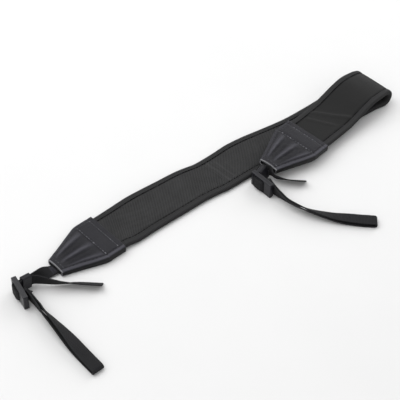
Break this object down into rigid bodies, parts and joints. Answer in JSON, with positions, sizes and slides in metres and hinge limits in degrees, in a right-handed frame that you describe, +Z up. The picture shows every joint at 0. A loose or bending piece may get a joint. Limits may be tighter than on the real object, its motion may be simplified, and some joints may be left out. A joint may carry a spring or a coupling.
{
  "type": "camera neck strap",
  "caption": "Padded camera neck strap lying folded, with leather end tabs, narrow webbing loops for the camera's lugs, slide adjusters and keepers.",
  "frame": {"origin": "on the floor under the middle of the whole strap as it lies", "axes": "+X along the padded band towards its fold, +Y across it to the side away from the camera loops, +Z up"},
  "size_m": [0.3874, 0.1506, 0.0222],
  "materials": {
    "pad_cloth": "fine ribbed charcoal cloth over a foam core",
    "binding_tape": "ribbed grosgrain tape, stitched along its inner edge",
    "tab_leather": "fine-grained blue-grey leather with lighter stitching",
    "narrow_webbing": "tight flat woven webbing",
    "moulded_plastic": "satin moulded plastic"
  },
  "bodies": {
    "root": {"neck_pad": "pad_cloth", "edge_binding_far": "binding_tape", "edge_binding_near": "binding_tape", "tab_left_top": "tab_leather", "tab_left_bottom": "tab_leather", "tab_right_top": "tab_leather", "tab_right_bottom": "tab_leather", "webbing_left": "narrow_webbing", "webbing_right": "narrow_webbing", "tri_glide_left": "moulded_plastic", "tri_glide_right": "moulded_plastic", "keeper_left": "moulded_plastic", "keeper_right": "moulded_plastic"}
  },
  "joints": []
}
